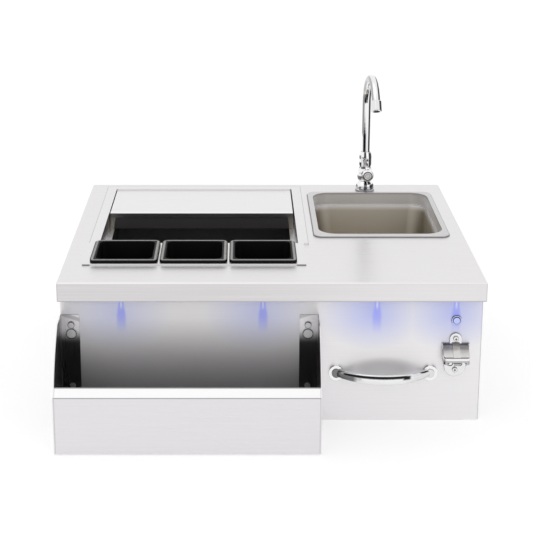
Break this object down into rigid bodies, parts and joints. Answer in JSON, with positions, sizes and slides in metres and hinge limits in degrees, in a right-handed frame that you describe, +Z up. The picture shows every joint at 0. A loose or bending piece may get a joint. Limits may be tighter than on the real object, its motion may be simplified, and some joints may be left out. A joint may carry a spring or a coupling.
{
  "type": "bar sink with ice bin",
  "caption": "Stainless drop-in bar centre with a lidded ice well, lift-out condiment trays, a small basin with a swivel gooseneck tap, a hanging bottle rail, a towel bar and a bottle opener.",
  "frame": {"origin": "on the casing's bottom face, below the middle of the counter", "axes": "+X to the user's right, +Y away from the user, towards the tap, +Z up"},
  "size_m": [0.762, 0.791, 0.5397],
  "materials": {
    "counter_steel": "fine brushed",
    "casing_steel": "fine brushed",
    "basin_steel": "satin drawn steel",
    "rail_steel": "fine brushed",
    "chrome": "polished",
    "cast_steel": "polished casting",
    "fastener": "machined",
    "drain_metal": "polished",
    "bin_plastic": "moulded, fine grain",
    "tray_plastic": "moulded, satin",
    "core_foam": "closed-cell board",
    "insulation": "rigid foam",
    "rubber": "moulded",
    "dark_plastic": "moulded",
    "button_metal": "satin",
    "lamp_lens": "clear, lit blue"
  },
  "bodies": {
    "frame": {"counter_top": "counter_steel", "front_panel": "casing_steel", "side_panel_left": "casing_steel", "side_panel_right": "casing_steel", "back_panel": "casing_steel", "bottom_pan": "casing_steel", "casing_screws": "fastener", "divider": "casing_steel", "well_frame": "counter_steel", "ice_bin": "bin_plastic", "bin_insulation": "insulation", "bin_bracket_left": "casing_steel", "bin_bracket_right": "casing_steel", "bin_drain": "drain_metal", "bin_drain_gasket": "rubber", "bin_drain_nut": "drain_metal", "tray_rack": "counter_steel", "sink_basin": "basin_steel", "basin_clips": "fastener", "strainer_body": "drain_metal", "strainer_gasket": "rubber", "strainer_nut": "drain_metal", "tailpiece": "drain_metal", "tailpiece_nut": "drain_metal", "tap_body": "chrome", "tap_gasket": "rubber", "tap_washer": "fastener", "tap_nut": "fastener", "rail_studs": "fastener", "stud_nuts": "fastener", "towel_bar": "chrome", "towel_bar_roses": "chrome", "towel_bar_nuts": "fastener", "bottle_opener": "cast_steel", "opener_screws": "fastener", "button_bezel": "button_metal", "button_switch": "dark_plastic", "button_nut": "fastener", "lamp_bracket": "casing_steel", "lamp_housings": "dark_plastic", "lamp_lenses": "lamp_lens", "lamp_driver": "dark_plastic"},
    "lid": {"lid_skin": "counter_steel", "lid_core": "core_foam"},
    "tray_left": {"tray_left": "tray_plastic"},
    "tray_centre": {"tray_centre": "tray_plastic"},
    "tray_right": {"tray_right": "tray_plastic"},
    "speed_rail": {"rail_trough": "rail_steel", "rail_end_left": "rail_steel", "rail_end_right": "rail_steel"},
    "spout": {"tap_spout": "chrome", "tap_aerator": "chrome"},
    "knob": {"tap_handle": "chrome", "tap_index": "chrome"},
    "button": {"push_button": "button_metal"},
    "basket": {"strainer_basket": "drain_metal"}
  },
  "joints": [
    {"name": "lid_slide", "type": "slide", "parent": "frame", "child": "lid", "axis": [0, -1, 0], "range_m": [0, 0.205]},
    {"name": "speed_rail_lift", "type": "slide", "parent": "frame", "child": "speed_rail", "axis": [0, 0, 1], "range_m": [0, 0.0168]},
    {"name": "spout_swivel", "type": "hinge", "parent": "frame", "child": "spout", "pos_m": [0.2142, 0.292, 0.275], "axis": [0, 0, 1], "continuous": true},
    {"name": "knob_turn", "type": "hinge", "parent": "frame", "child": "knob", "pos_m": [0.2142, 0.292, 0.3136], "axis": [0.1045, -0.9945, 0], "range_deg": [0, 90]},
    {"name": "button_press", "type": "slide", "parent": "frame", "child": "button", "axis": [0, 1, 0], "range_m": [0, 0.002], "stiffness_N_per_m": 400, "springref_m": -0.001},
    {"name": "basket_lift", "type": "slide", "parent": "frame", "child": "basket", "axis": [0, 0, 1], "range_m": [0, 0.05]},
    {"name": "tray_left_lift", "type": "slide", "parent": "frame", "child": "tray_left", "axis": [0, 0, 1], "range_m": [0, 0.11]},
    {"name": "tray_centre_lift", "type": "slide", "parent": "frame", "child": "tray_centre", "axis": [0, 0, 1], "range_m": [0, 0.11]},
    {"name": "tray_right_lift", "type": "slide", "parent": "frame", "child": "tray_right", "axis": [0, 0, 1], "range_m": [0, 0.11]}
  ]
}
